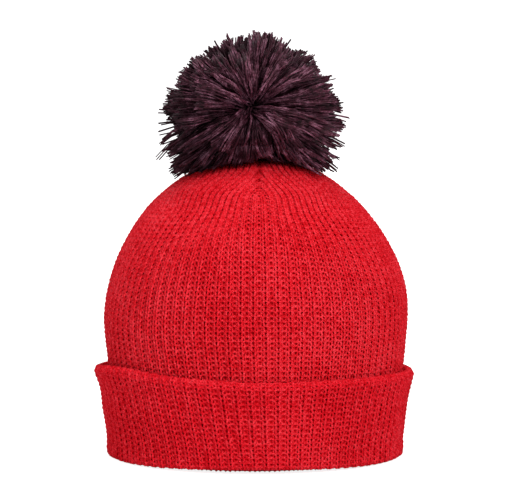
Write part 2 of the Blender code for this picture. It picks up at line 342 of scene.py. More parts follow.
def lay(wale, height):
    """Where a wale coordinate and a height share lie on the shell.

    Returns the level, the azimuth, the wale's spacing over the widest one, how many
    wales a lost wale lies beyond its dart (0 where kept), and the distance in wales to
    the nearest dart.
    """
    folded, right, front = fold_wale(wale)
    azimuth = to_azimuth(ring_angle(DEPTH_RATIO, folded / QUARTER), right, front)
    place_low = from_table(folded, SPREAD_LOW[0])
    place_high = from_table(folded, SPREAD_HIGH[0])
    for _ in range(3):
        level = level_of(height, azimuth)
        radius, ratio, z = level_radius(level), level_ratio(level), level_z(level)
        girth = np.where(level < 0.0, 1.0, ring_length(radius, ratio) / WIDEST_GIRTH)
        lost = positive(QUARTER * (1.0 - girth / CLOSED), 0.5)
        lost_front = positive(lost - FRONT_FROM, 0.7) * 0.5
        # nearer the top the side darts take more
        lost_front = lost_front - 0.45 * np.maximum(lost_front - 2.6, 0.0)
        lost_side = np.maximum(lost - lost_front, 0.0)
        upper = smooth(z, 0.105, 0.145)
        place = place_low + (place_high - place_low) * upper
        share = (place - lost_front) / np.maximum(QUARTER - lost_front - lost_side, 1e-6)
        azimuth = to_azimuth(ring_angle(ratio, share), right, front)
        # rising over the crown, wales draw in towards the front and back darts
        pull = smooth(z, 0.100, 0.168) * np.where(right, 0.0078, 0.0105)
        off = off_middle(azimuth)
        pull = pull * off * (0.45 + 0.55 * smooth(np.abs(off), 0.1, 0.8))
        azimuth = azimuth - pull / np.maximum(radius, 0.026)
    side_dart = QUARTER - lost_side
    beyond = np.maximum(lost_front - place, 0.0) + np.maximum(place - side_dart, 0.0)
    spacing = np.maximum(girth, CLOSED) * (from_table(folded, SPREAD_LOW[1]) * (1.0 - upper)
                                           + from_table(folded, SPREAD_HIGH[1]) * upper)
    # a dart counts only where it has begun
    near = np.minimum(np.where(lost_front > 0.3, np.abs(place - lost_front), 9.0),
                      np.where(lost_side > 0.3, np.abs(side_dart - place), 9.0))
    # lower down, wales lean away from the front's middle as they rise
    low = 0.5 * (1.0 - np.tanh((z - 0.075) / 0.016)) * np.minimum(z - 0.085, 0.0)
    azimuth = azimuth + (lean(azimuth, fan=0.075, back_share=0.5, tilt=0.03)
                         * low / (HALF_X * 1.06))
    return level, azimuth, spacing, beyond, near


def rib_openness(spacing):
    """1 where the rib is stretched, 0 where it is closed."""
    return smooth(spacing, 0.735, 0.90)


# ---- Mesh building ----
def make_mesh(name, verts, quads, material, tris=None, yarn=None):
    """A smooth mesh from arrays; unused points are dropped."""
    verts = verts.reshape(-1, 3)
    quads = quads.reshape(-1, 4)
    tris = np.zeros((0, 3), int) if tris is None else tris
    corners = np.concatenate([quads.ravel(), tris.ravel()])
    keep = np.zeros(len(verts), bool)
    keep[corners] = True
    verts = verts[keep]
    loops = (np.cumsum(keep) - 1)[corners]
    starts = np.concatenate([np.arange(len(quads)) * 4,
                             len(quads) * 4 + np.arange(len(tris)) * 3])
    mesh = bpy.data.meshes.new(name)
    mesh.vertices.add(len(verts))
    mesh.vertices.foreach_set("co", verts.astype(np.float32).ravel())
    mesh.loops.add(len(loops))
    mesh.loops.foreach_set("vertex_index", loops.astype(np.int32))
    mesh.polygons.add(len(starts))
    mesh.polygons.foreach_set("loop_start", starts.astype(np.int32))
    mesh.polygons.foreach_set("use_smooth", np.ones(len(starts), bool))
    if yarn is not None:
        attribute = mesh.attributes.new("yarn", "FLOAT_VECTOR", "POINT")
        attribute.data.foreach_set("vector", yarn.reshape(-1, 3)[keep].astype(np.float32).ravel())
    mesh.update(calc_edges=True)
    mesh.materials.append(material)
    piece = bpy.data.objects.new(name, mesh)
    bpy.context.scene.collection.objects.link(piece)
    return piece


def turned(faces, points, sample, direction):
    """The faces, flipped if the sample face looks against the direction."""
    first, second, third = points[faces[sample][:3]]
    against = np.cross(second - first, third - first) @ direction < 0
    return faces[:, ::-1] if against else faces


def band_quads(index):
    """Quads over a grid of point numbers whose rows are closed rings."""
    turn = np.roll(index, -1, 1)
    return np.stack([index[:-1], turn[:-1], turn[1:], index[1:]], -1).reshape(-1, 4)


def tubes(centre, normal, radius, sides, closed, kept=None):
    """Round tubes along rows of points. centre is (rows, points, 3).

    Returns points, quads and the yarn data: length along, cos and sin of twice the
    angle round the tube.
    """
    if closed:
        along = unit(np.roll(centre, -1, 1) - np.roll(centre, 1, 1))
    else:
        along = unit(np.gradient(centre, axis=1))
    across = unit(np.cross(along, normal))
    out = np.cross(across, along)
    angle = np.arange(sides) * TAU / sides
    ring = (np.cos(angle)[None, None, :, None] * out[:, :, None, :]
            + np.sin(angle)[None, None, :, None] * across[:, :, None, :])
    rows, count = centre.shape[:2]
    radius = np.broadcast_to(radius, (rows, count))
    points = centre[:, :, None, :] + ring * radius[:, :, None, None]
    index = np.arange(rows * count * sides).reshape(rows, count, sides)
    if closed:
        following = np.roll(index, -1, 1)
    else:
        following = index[:, 1:]
        index = index[:, :-1]
    quads = np.stack([index, np.roll(index, -1, 2), np.roll(following, -1, 2), following], -1)
    if kept is not None:
        quads = quads[kept & np.roll(kept, -1, 1)]
    quads = quads.reshape(-1, 4)
    sample = len(quads) // 2
    corner = quads[sample][0]
    flat = points.reshape(-1, 3)
    quads = turned(quads, flat, sample, flat[corner] - centre.reshape(-1, 3)[corner // sides])
    yarn = np.zeros(points.shape)
    yarn[..., 0] = running_length(centre)[:, :, None]
    yarn[..., 1] = np.cos(2.0 * angle)
    yarn[..., 2] = np.sin(2.0 * angle)
    return points, quads, yarn


def sheet(name, outer, inner, material):
    """A closed sheet from two equal grids (rows, around, 3), joined at both rims."""
    rows, around = outer.shape[:2]
    verts = np.concatenate([outer.reshape(-1, 3), inner.reshape(-1, 3)])
    front = np.arange(rows * around).reshape(rows, around)
    back = front + rows * around
    quads = np.concatenate([band_quads(front), band_quads(back)[:, ::-1],
                            band_quads(np.stack([back[0], front[0]])),
                            band_quads(np.stack([front[-1], back[-1]]))])
    quads = turned(quads, verts, 0, outer[0, 0] - inner[0, 0])
    return make_mesh(name, verts, quads, material)


# ---- Materials ----
def add_node(tree, kind, inputs, **settings):
    """A node whose inputs are each linked from a socket or given a value."""
    node = tree.nodes.new(kind)
    for name, value in settings.items():
        setattr(node, name, value)
    for key, value in inputs.items():
        if isinstance(value, bpy.types.NodeSocket):
            tree.links.new(value, node.inputs[key])
        else:
            node.inputs[key].default_value = value
    return node


def add_math(tree, operation, *terms):
    node = add_node(tree, "ShaderNodeMath", dict(enumerate(terms)), operation=operation)
    return node.outputs[0]


def strand_tone(tree, shader, colour, position, yarn_x, centre, near, far, spec):
    """Cut strands are darker and less glossy towards the middle, as painted shade, and vary by the
    whole part of yarn x.
    """
    offset = add_node(tree, "ShaderNodeVectorMath", {0: position, 1: centre},
                      operation="SUBTRACT")
    stretched = add_node(tree, "ShaderNodeVectorMath",
                         {0: offset.outputs[0], 1: (1.0, 1.35, 1.0)}, operation="MULTIPLY")
    distance = add_node(tree, "ShaderNodeVectorMath", {0: stretched.outputs[0]},
                        operation="LENGTH")
    # painted shade: colour and gloss fall off towards the ball's middle
    depth = add_node(tree, "ShaderNodeMapRange", {
        "Value": distance.outputs["Value"], "From Min": near, "From Max": far,
        "To Min": 0.02, "To Max": 1.0}, interpolation_type="SMOOTHSTEP")
    strand = add_math(tree, "FLOOR", yarn_x)
    # each strand's tone, random and with painted shade on the lower left
    tone_with_side_shade = add_node(tree, "ShaderNodeMapRange", {
        "Value": strand, "From Min": 0.0, "From Max": 15.0, "To Min": 0.04, "To Max": 2.50})
    both = add_math(tree, "MULTIPLY", depth.outputs[0], tone_with_side_shade.outputs[0])
    tone = add_node(tree, "ShaderNodeVectorMath", {0: colour, "Scale": both},
                    operation="SCALE")
    tree.links.new(tone.outputs[0], shader.inputs["Base Color"])
    gloss = add_math(tree, "MULTIPLY", both, spec)
    tree.links.new(gloss, shader.inputs["Specular IOR Level"])


def yarn_material(name, light, mid, dark, sheen, spec, rough=0.82, fibre=1500.0, bump=0.55,
                  twist=0.0013, patch=26.0, sheen_tint=(1, 1, 1), ply_share=1.0, spread=0.23,
                  patch_mix=0.5, middle=None):
    """Two-ply yarn.

    fibre and patch are noise scales, twist is the plies' pitch and ply_share how much
    they show, in the bump and as painted shade in the colour. spread is half the colour
    ramp's width. middle is the centre and the near and far radius between which cut strands
    lighten out of the painted shade that darkens the ball's middle.
    """
    material = bpy.data.materials.new(name)
    material.use_nodes = True
    tree = material.node_tree
    shader = tree.nodes["Principled BSDF"]
    position = add_node(tree, "ShaderNodeTexCoord", {}).outputs["Object"]

    def noise(scale, detail, **more):
        return add_node(tree, "ShaderNodeTexNoise", {
            "Vector": position, "Scale": scale, "Detail": detail, **more}).outputs["Fac"]

    fine = noise(fibre, 3.0, Roughness=0.65)
    broad = noise(patch, 2.0)
    speck = noise(fibre * 0.27, 2.0)

    # two plies twisted round each other
    yarn = add_node(tree, "ShaderNodeAttribute", {}, attribute_name="yarn")
    parts = add_node(tree, "ShaderNodeSeparateXYZ", {0: yarn.outputs["Vector"]}).outputs
    phase = add_math(tree, "MULTIPLY", parts["X"], TAU / twist)
    sine = add_math(tree, "SINE", phase)
    cosine = add_math(tree, "COSINE", phase)
    ply = add_math(tree, "ADD", add_math(tree, "MULTIPLY", sine, parts["Y"]),
                   add_math(tree, "MULTIPLY", cosine, parts["Z"]))

    # colour: fine fibre, speckle, painted shade in the ply's groove and broad patches
    shade = add_math(tree, "MULTIPLY_ADD", fine, 0.55, 0.0)
    shade = add_math(tree, "MULTIPLY_ADD", speck, 0.45, shade)
    shade = add_math(tree, "MULTIPLY_ADD", ply, 0.10 * ply_share, shade)
    shade = add_math(tree, "MULTIPLY_ADD", broad, patch_mix, shade)
    shade = add_math(tree, "SUBTRACT", shade, 0.5 * patch_mix)
    ramp = add_node(tree, "ShaderNodeValToRGB", {0: shade})
    stops = ramp.color_ramp.elements
    stops[0].position = 0.5 - spread
    stops[0].color = (*dark, 1)
    stops[1].position = 0.5 + spread
    stops[1].color = (*light, 1)
    stops.new(0.5).color = (*mid, 1)
    if middle is None:
        tree.links.new(ramp.outputs[0], shader.inputs["Base Color"])
    else:
        strand_tone(tree, shader, ramp.outputs[0], position, parts["X"], *middle, spec)

    # roughness follows the fibres
    roughness = add_node(tree, "ShaderNodeMapRange", {
        "Value": fine, "From Min": 0.3, "From Max": 0.7,
        "To Min": rough - 0.12, "To Max": min(rough + 0.12, 1.0)})
    tree.links.new(roughness.outputs[0], shader.inputs["Roughness"])
    height = add_math(tree, "MULTIPLY_ADD", ply, 0.30 * ply_share, fine)
    relief = add_node(tree, "ShaderNodeBump", {
        "Strength": bump, "Distance": 0.00022, "Height": height})
    tree.links.new(relief.outputs[0], shader.inputs["Normal"])

    shader.inputs["Specular IOR Level"].default_value = spec
    shader.inputs["Sheen Weight"].default_value = sheen
    shader.inputs["Sheen Roughness"].default_value = 0.45
    shader.inputs["Sheen Tint"].default_value = (*sheen_tint, 1)
    return material


# The pom pom's centre and half sizes
POM_RX = float(pom_high.x - pom_low.x) / 2
POM_RY = float(pom_high.y - pom_low.y) / 2
POM_RZ = POM_RX * 0.885
POM_CENTRE = np.array([(pom_low.x + pom_high.x) / 2, (pom_low.y + pom_high.y) / 2,
                       float(pom_high.z) - POM_RZ])

RIB_LOOK = dict(sheen=0.0, spec=0.03, rough=0.66, sheen_tint=(1.0, 0.45, 0.5), spread=0.14,
                patch_mix=0.17)
DEEP_TINT = (1.0, 0.3, 0.36)
INSIDE_LOOK = dict(sheen=0.1, spec=0.12, sheen_tint=DEEP_TINT)

RED = yarn_material(
    "red_rib_yarn", light=(0.89, 0.052, 0.072), mid=(0.75, 0.0115, 0.0225),
    dark=(0.49, 0.002, 0.005), **RIB_LOOK)
RED_CUFF = yarn_material(
    "red_cuff_yarn", light=(0.88, 0.044, 0.063), mid=(0.74, 0.0085, 0.0195),
    dark=(0.49, 0.002, 0.005), patch=31.0, **RIB_LOOK)
# a sheet behind the knit, darker than the yarn: painted shade seen through the gaps between
# stitches
RED_BACK_SHADE = yarn_material(
    "red_knit_behind_painted_shade", light=(0.54, 0.003, 0.008), mid=(0.43, 0.001, 0.004),
    dark=(0.30, 0.0005, 0.002), sheen=0.02, spec=0.04, bump=0.8, sheen_tint=DEEP_TINT)
RED_LINING = yarn_material(
    "red_lining_knit", light=(0.78, 0.028, 0.042), mid=(0.64, 0.011, 0.022),
    dark=(0.46, 0.004, 0.010), **INSIDE_LOOK)
RED_CUFF_IN = yarn_material(
    "red_cuff_inside_knit", light=(0.70, 0.024, 0.036), mid=(0.58, 0.010, 0.019),
    dark=(0.42, 0.004, 0.009), **INSIDE_LOOK)
SEAM = yarn_material(
    "seam_thread_red", light=(0.60, 0.015, 0.026), mid=(0.44, 0.008, 0.015),
    dark=(0.28, 0.003, 0.007), rough=0.6, sheen=0.15, fibre=2600.0, spec=0.4)
POM = yarn_material(
    "aubergine_pom_yarn", light=(0.190, 0.077, 0.117), mid=(0.050, 0.0085, 0.0185),
    dark=(0.006, 0.0005, 0.0015), rough=0.50, sheen=0.02, fibre=700.0, bump=0.6,
    patch=150.0, twist=0.0022, sheen_tint=(0.8, 0.5, 0.6), spec=0.16, ply_share=0.5,
    spread=0.20,
    # middle sets where the painted shade darkens the ball's middle
    middle=((POM_CENTRE[0], POM_CENTRE[1], float(pom_high.z) - 0.046), 0.031, 0.053))
TIE = yarn_material(
    "dark_tie_cord", light=(0.070, 0.028, 0.042), mid=(0.034, 0.012, 0.019),
    dark=(0.012, 0.003, 0.006), rough=0.7, sheen=0.15, fibre=1800.0, spec=0.35)

# ---- Rib knit: one yarn course after another ----
STITCHES = REPEATS * 2
STITCH_WALES = np.arange(STITCHES) * 0.5
PHASES = -math.pi + TAU * np.arange(STITCH_POINTS) / STITCH_POINTS
LOOP_HEIGHT = 0.63        # half a stitch's height, in rows
LEG_DEPTH = 0.00046


def over_stitch(values):
    """Per-stitch values to points, going over smoothly between stitches."""
    weight = np.abs(PHASES) / TAU
    other = np.where(PHASES < 0, np.roll(values, 1, 1)[:, :, None],
                     np.roll(values, -1, 1)[:, :, None])
    return values[:, :, None] * (1 - weight) + other * weight


def courses(row_index, openness, rng):
    """Course curves in wale and row units, with depth, yarn radius and openness.

    openness is (rows, stitches): 1 stretched rib, 0 closed rib.
    Even stitches are purl (centred on whole wales), odd ones knit.
    """
    shape = (len(row_index), STITCHES)
    wale_shift = rng.normal(0.0, 0.016, shape)
    row_shift = rng.normal(0.0, 0.040, shape) + periodic_noise(rng, *shape, 4.0, 9.0) * 0.07
    depth_shift = rng.normal(0.0, 0.00007, shape)
    loop_scale = 1.0 + rng.normal(0.0, 0.05, shape)
    yarn_scale = 1.0 + rng.normal(0.0, 0.035, shape)

    knit = (np.arange(STITCHES) % 2 == 1)[None, :, None]
    openness = over_stitch(openness)
    knit_share = 0.58 - 0.11 * openness       # of a repeat's width
    width = np.where(knit, knit_share, 1.0 - knit_share)
    swing = (np.where(knit, 0.240, 0.185) * np.sin(2 * PHASES)
             + np.where(knit, 0.064, 0.090) * np.sin(PHASES))
    wale = (STITCH_WALES[None, :, None] + width * (PHASES / TAU + swing)
            + over_stitch(wale_shift))
    row = (np.asarray(row_index, float)[:, None, None]
           + LOOP_HEIGHT * over_stitch(loop_scale) * np.cos(PHASES) + over_stitch(row_shift))
    # legs of knit wales come forward, heads of purl wales stay in front
    sign = np.where(knit, 1.0, -1.0)
    rib_depth = 0.00040 + (1.0 - openness) * 0.00130
    depth = (sign * LEG_DEPTH * (1.0 - np.cos(2 * PHASES))
             + (rib_depth / 2 - LEG_DEPTH) * sign * np.cos(PHASES * 0.5) ** 2
             + over_stitch(depth_shift))
    open_radius = YARN_OPEN * np.where(knit, 1.0, 1.06)
    radius = (YARN_CLOSED + (open_radius - YARN_CLOSED) * openness) * over_stitch(yarn_scale)
    return [values.reshape(shape[0], -1) for values in (wale, row, depth, radius, openness)]


def knit_meshes(name, centre, normal, radius, material, kept=None):
    """The courses as tubes, a fixed number of courses to a mesh."""
    pieces = []
    for number, start in enumerate(range(0, len(centre), COURSES_PER_MESH), 1):
        part = slice(start, start + COURSES_PER_MESH)
        points, quads, yarn = tubes(centre[part], normal[part], radius[part], YARN_SIDES, True,
                                    None if kept is None else kept[part])
        pieces.append(make_mesh("%s_%02d" % (name, number), points, quads, material, yarn=yarn))
    return pieces


def build_body():
    total_rows = int(round(FRONT_LENGTH / ROW_PITCH))
    rng = np.random.default_rng(11)
    index = np.arange(1, int(total_rows * 0.975))
    spacing = lay(*np.meshgrid(STITCH_WALES, index / total_rows))[2]
    openness = rib_openness(spacing)
    openness = openness + periodic_noise(rng, len(index), STITCHES, 5, 8) * 0.10
    wale, row, depth, radius, openness = courses(index, np.clip(openness, 0, 1), rng)
    level, azimuth, _, beyond, near = lay(wale, row / total_rows)
    point, normal = shell_frame(level, azimuth)
    depth = np.maximum(-0.00112 - 0.00010 * (1 - openness) + depth, -0.0021)
    # a dart draws the fabric in, and cut wales run in under it
    depth = depth - 0.0011 * np.exp(-(near / 0.55) ** 2)
    depth = depth - np.minimum(beyond * 0.006, 0.0024)
    return knit_meshes("body_rib_knit", point + normal * depth[..., None], normal, radius, RED,
                       beyond < 0.55)


# ---- Sheets under the shell ----
def shell_sheet(name, depths, material, per_wale, rows):
    """A sheet below the shell; depths gives its outer and inner depth."""
    wale, height = np.meshgrid(np.arange(REPEATS * per_wale) / per_wale,
                               np.linspace(0.0, 0.985, rows))
    level, azimuth, spacing, _, _ = lay(wale, height)
    point, normal = shell_frame(level, azimuth)
    sides = []
    for depth in depths(wale, height, rib_openness(spacing)):
        side = point - normal * np.asarray(depth)[..., None]
        side[0, :, 2] = 0.0006    # level lower rim
        sides.append(side)
    return sheet(name, *sides, material)


def backing_depths(wale, height, openness):
    """Tight rib leaves no room behind, so the sheet comes closer there."""
    outer = BACKING_DEPTH - 0.0007 * (1.0 - openness)
    return outer, outer + BACKING_THICKNESS


LINING_ROWS = 94
LINING_RELIEF = 0.00075


def lining_depths(wale, height, openness):
    """Ribs and stitches stand out on the inner side."""
    rib = np.cos(TAU * wale)
    wave = LINING_RELIEF * (0.5 + 0.5 * rib * (1.25 - 0.5 * openness)
                            + 0.22 * np.cos(TAU * height * LINING_ROWS / 2.0 + np.pi * (rib > 0)))
    return LINING_OUT, LINING_IN + wave


# ---- Cuff ----
CUFF_WALL = 0.00405
CUFF_SHIFT_X = -0.0004
FOLD_Z = 0.0026           # where the lower fold ends and the outer wall begins
ROLL_Z = CUFF_TOP - 0.0036  # where the rolled top begins
FOLD_IN_POINTS, FOLD_PARTS, WALL_POINTS = 8, 12, 40
WALL_START = FOLD_IN_POINTS + FOLD_PARTS - 1
WALL = slice(WALL_START, WALL_START + WALL_POINTS)


def cuff_offset(z):
    """Room between the shell and the cuff: it flares at the top and the lower fold."""
    flare = np.maximum(z - 0.030, 0.0) / 0.022
    roll = np.maximum(0.012 - z, 0.0) / 0.012
    return 0.00045 + 0.0026 * flare ** 2 + 0.0020 * roll ** 2


def half_turn(inside, outside, z, rise, start, parts):
    """Inner points of half an ellipse between two radii."""
    angle = start + math.pi * np.arange(1, parts) / parts
    return np.column_stack([(inside + outside) / 2 + (outside - inside) / 2 * np.cos(angle),
                            z + rise * np.sin(angle)])


def cuff_profile():
    """Radius and z of the folded cuff, from inside the lower fold, up and over."""
    def inner(z):
        return low_radius(z) + cuff_offset(z) + 0.0004

    def outer(z):
        return low_radius(z) + cuff_offset(z) + CUFF_WALL

    fold_z = np.linspace(0.011, FOLD_Z, FOLD_IN_POINTS)
    wall_z = np.linspace(FOLD_Z, ROLL_Z, WALL_POINTS)
    back_z = np.linspace(ROLL_Z, 0.038, 12)
    # the rolled top leans in against the body
    top_inside = low_radius(ROLL_Z) + 0.0010
    away = smooth(back_z, ROLL_Z, 0.038)
    return np.concatenate([
        np.column_stack([inner(fold_z), fold_z]),
        half_turn(inner(FOLD_Z), outer(FOLD_Z) - 0.0002, FOLD_Z, 0.0024, math.pi, FOLD_PARTS),
        np.column_stack([outer(wall_z) - np.where(wall_z < 0.004, 0.0002, 0.0), wall_z]),
        half_turn(top_inside, outer(ROLL_Z), ROLL_Z, CUFF_TOP - ROLL_Z + 0.0002, 0.0, 14),
        np.column_stack([inner(back_z) * away + top_inside * (1 - away), back_z])])


CUFF_PROFILE = cuff_profile()
CUFF_RUN = running_length(CUFF_PROFILE)
CUFF_LENGTH = float(CUFF_RUN[-1])

# the turned-up height differs round the hat: degrees from the front's middle
# (positive to the right), share by which the cuff is taller
CUFF_RISE = np.array([
    (-180, -0.095), (-150, -0.105), (-115, -0.095), (-90, -0.050), (-80, -0.010), (-72, 0.026),
    (-62, 0.050), (-52, 0.056), (-30, 0.030), (0, 0.0), (30, -0.004), (60, -0.030),
    (90, -0.085), (120, -0.11), (150, -0.105), (180, -0.095)])
RISE_ANGLES = np.linspace(-math.pi, math.pi, 181)
rise = np.interp(RISE_ANGLES, np.radians(CUFF_RISE[:, 0]), CUFF_RISE[:, 1])
kernel = np.hanning(11)
RISE_SMOOTH = np.convolve(np.concatenate([rise[-20:-1], rise, rise[1:20]]),
                          kernel / kernel.sum(), "same")[19:-19]


def cuff_stretch(share, azimuth):
    """Factor on z at a share of the cuff's height."""
    angle = (azimuth + math.pi / 2.0 + math.pi) % TAU - math.pi
    return 1.0 + np.interp(angle, RISE_ANGLES, RISE_SMOOTH) * smooth(share, 0.0, 0.8)


SOFT_CUFF = periodic_noise(np.random.default_rng(77), 32, NOISE_COLS, 2.0, 5.0)


def cuff_z(run):
    return np.interp(run, CUFF_RUN, CUFF_PROFILE[:, 1])


def cuff_surface(run, azimuth):
    """Point at a length along the profile."""
    z = cuff_z(run)
    share = np.clip(z / CUFF_TOP, 0.0, 1.0)
    column = noise_column(azimuth)
    wobble = (grid_lookup(SOFT_CUFF, share * 31.0, column) * wrap_fade(column, 6.0)
              * smooth(share, 0.1, 0.6))
    radius = np.interp(run, CUFF_RUN, CUFF_PROFILE[:, 0]) + 0.00075 * wobble
    x = (radius * np.cos(azimuth) + CUFF_SHIFT_X
         - 0.0011 * share ** 2 * np.clip(0.4 - np.cos(azimuth), 0, 1.4) / 1.4)
    y = radius * DEPTH_RATIO * np.sin(azimuth)
    z = z * cuff_stretch(share, azimuth)
    # the fold lifts a little in front
    z = z + 0.0020 * (1.0 - share) ** 4 * np.clip(-np.sin(azimuth), 0.0, 1.0) ** 5
    return np.stack([x, y, z], -1)


def cuff_frame(run, azimuth):
    h = 2e-4
    up = (cuff_surface(np.minimum(run + h, CUFF_LENGTH), azimuth)
          - cuff_surface(np.maximum(run - h, 0.0), azimuth))
    around = cuff_surface(run, azimuth + 2e-3) - cuff_surface(run, azimuth - 2e-3)
    return cuff_surface(run, azimuth), unit(np.cross(around, up))


def cuff_azimuth(wale, run):
    folded, right, front = fold_wale(wale)
    share = from_table(folded, SPREAD_LOW[0]) / QUARTER
    azimuth = to_azimuth(ring_angle(DEPTH_RATIO, share), right, front)
    return azimuth + (lean(azimuth, fan=0.115, back_share=0.4, tilt=0.055)
                      * (cuff_z(run) - 0.025) / (HALF_X * 1.05))


def build_cuff():
    rng = np.random.default_rng(23)
    rows = int(round(CUFF_LENGTH / ROW_PITCH))
    index = np.arange(rows) + 0.5
    row_run = index / rows * CUFF_LENGTH
    roll = smooth(cuff_z(row_run), 0.0455, 0.0515)
    # the rib closes up over the rolled top and at the sides
    side = np.sin(STITCH_WALES / REPEATS * TAU) ** 2
    openness = (0.92 - 0.55 * roll)[:, None] - 0.38 * side[None, :]
    openness = np.clip(openness + periodic_noise(rng, rows, STITCHES, 5, 8) * 0.12, 0, 1)
    wale, row, depth, radius, openness = courses(index, openness, rng)
    run = np.clip(row / rows, 0.002, 0.998) * CUFF_LENGTH
    point, normal = cuff_frame(run, cuff_azimuth(wale, run))
    depth = depth * (1.0 - 0.45 * np.interp(run, row_run, roll))
    depth = np.maximum(-0.00098 + depth - 0.0001 * (1 - openness), -0.0019)
    pieces = knit_meshes("cuff_rib_knit", point + normal * depth[..., None], normal, radius,
                         RED_CUFF)
    # fabric behind the stitches, darker than the yarn as painted shade in the gaps
    wale, run = np.meshgrid(np.arange(REPEATS * 3) / 3.0,
                            np.linspace(0.01, 0.99, 60) * CUFF_LENGTH)
    point, normal = cuff_frame(run, cuff_azimuth(wale, run))
    pieces.append(sheet("cuff_knit_behind_shade", point - normal * 0.00145, point - normal * 0.00175,
                        RED_BACK_SHADE))
    return pieces


def build_cuff_inside():
    """The cuff's inner layer, ribbed on the side that faces the shell."""
    per_wale, rows = 6, 34
    wale, z = np.meshgrid(np.arange(REPEATS * per_wale) / per_wale,
                          np.linspace(0.0032, CUFF_TOP - 0.0130, rows))
    azimuth = cuff_azimuth(wale, np.interp(z, CUFF_PROFILE[WALL, 1], CUFF_RUN[WALL]))
    radius = low_radius(z) + cuff_offset(z)
    rib = 0.00028 * (1.0 + np.cos(TAU * wale)) + 0.00010 * np.cos(TAU * z / 0.0029 * 0.5)
    high = z * cuff_stretch(z / CUFF_TOP, azimuth)

    def at(ring):
        return np.stack([ring * np.cos(azimuth) + CUFF_SHIFT_X,
                         ring * DEPTH_RATIO * np.sin(azimuth), high], -1)

    return sheet("cuff_inside_rib_knit", at(radius + 0.0017), at(radius + 0.0002 + rib),
                 RED_CUFF_IN)


# ---- Pom pom ----
# outline by angle in the XZ plane, from +X towards +Z: degrees, reach over the half width
POM_ANGLES = np.radians([
    -90, -60, -40, -34, -28, -22, -15, -9, -3, 4, 10, 17, 26, 35, 44, 57, 71, 83, 93, 108, 122,
    134, 144, 153, 162, 169, 176, 183, 190, 197, 202, 208, 212, 220, 240, 270])
POM_REACH = 0.945 * np.array([
    0.92, 1.04, 1.14, 1.13, 1.12, 1.01, 1.02, 1.02, 1.0, 1.0, 0.969, 0.974, 0.891, 0.881,
    0.865, 0.825, 0.865, 0.86, 0.83, 0.79, 0.80, 0.85, 0.872, 0.891, 0.92, 0.925, 0.975,
    1.0, 0.912, 0.928, 1.00, 1.06, 1.18, 1.17, 1.04, 0.92])
# an uneven scissor cut on top of it: degrees, factor
CUT_ANGLES = np.radians([-60, *range(-39, 220, 6), 240])
CUT_REACH = np.array([
    1.0, 1.03, 0.975, 0.94, 0.965, 0.975, 1.0, 0.985, 1.025, 1.035, 1.055, 1.055, 1.015, 1.03,
    1.0, 0.965, 0.96, 0.965, 1.01, 1.025, 1.0, 0.97, 0.93, 0.945, 0.95, 0.97, 1.0, 1.005, 0.975,
    0.965, 0.935, 0.955, 0.965, 1.01, 0.99, 0.96, 0.985, 0.995, 1.015, 0.985, 0.94, 0.92, 1.04,
    0.98, 1.0, 1.0])

# the trimmed front rim across the ball: x, height at y = 0 before its slope forward
RIM_SLOPE = 0.1175
RIM = np.array([
    (-0.060, 0.1520), (-0.045, 0.1580), (-0.0295, 0.1653), (-0.0138, 0.1670), (-0.0036, 0.1680),
    (0.0001, 0.1705), (0.0033, 0.1730), (0.0065, 0.1718), (0.0135, 0.1700), (0.021, 0.1697),
    (0.029, 0.1660), (0.0413, 0.1605), (0.060, 0.1520)])

# long loose strands, most of them low on the left: degrees in the XZ plane, y, reach
LOOSE = np.array([
    (189.5, -0.06, 1.06), (191.0, 0.05, 1.05), (193.5, -0.12, 1.065), (196.0, 0.1, 1.06),
    (199.0, 0.0, 1.06), (202.5, 0.12, 1.065), (205.5, -0.05, 1.05), (176.0, 0.1, 1.0),
    (61.0, 0.0, 0.92), (47.0, -0.1, 0.90), (118.0, 0.05, 0.88), (330.0, 0.0, 0.97),
    (341.0, 0.1, 0.98)])

TUFTS, YARNS_PER_TUFT, PLIES_PER_YARN = 590, 5, 3
STRAND_POINTS = 8
SHARES = np.linspace(0.0, 1.0, STRAND_POINTS)
UPPER_POLE = math.radians(30.0)   # tips stay this far from the bundle's axis
SKIRT = 0.016                     # strands that end closer to the crown rest on it
SECTORS = 6


def crown_height_at(x, y):
    """Height of the crown under x, y, and its ring's half width."""
    x = x - APEX_X * 0.8
    radius = np.sqrt(x * x + (y / DEPTH_RATIO) ** 2)
    for _ in range(7):
        radius = np.sqrt(x * x + (y / crown_ratio(radius)) ** 2)
    return crown_z(radius), radius


def crown_clearance(points):
    return points[..., 2] - crown_height_at(points[..., 0], points[..., 1])[0]


def polar_angle(direction):
    """Angle from the bundle's axis, which lies along Y."""
    return np.arccos(np.clip(np.abs(direction[:, 1]), 0, 1))


def pom_reach(direction):
    """How far the ball reaches along unit directions."""
    x, y, z = direction.T
    base = 1.0 / np.sqrt((x / POM_RX) ** 2 + (y / POM_RY) ** 2 + (z / POM_RZ) ** 2)
    angle = np.arctan2(z, x)
    angle = np.where(angle < -math.pi / 2, angle + TAU, angle)
    plane = np.sqrt(x ** 2 + z ** 2)
    ellipse = 1.0 / np.sqrt((np.cos(angle) / POM_RX) ** 2 + (np.sin(angle) / POM_RZ) ** 2)
    wanted = (np.interp(angle, POM_ANGLES, POM_REACH) * np.interp(angle, CUT_ANGLES, CUT_REACH)
              * POM_RX)
    return base * (1.0 + (wanted / ellipse - 1.0) * plane ** 3)


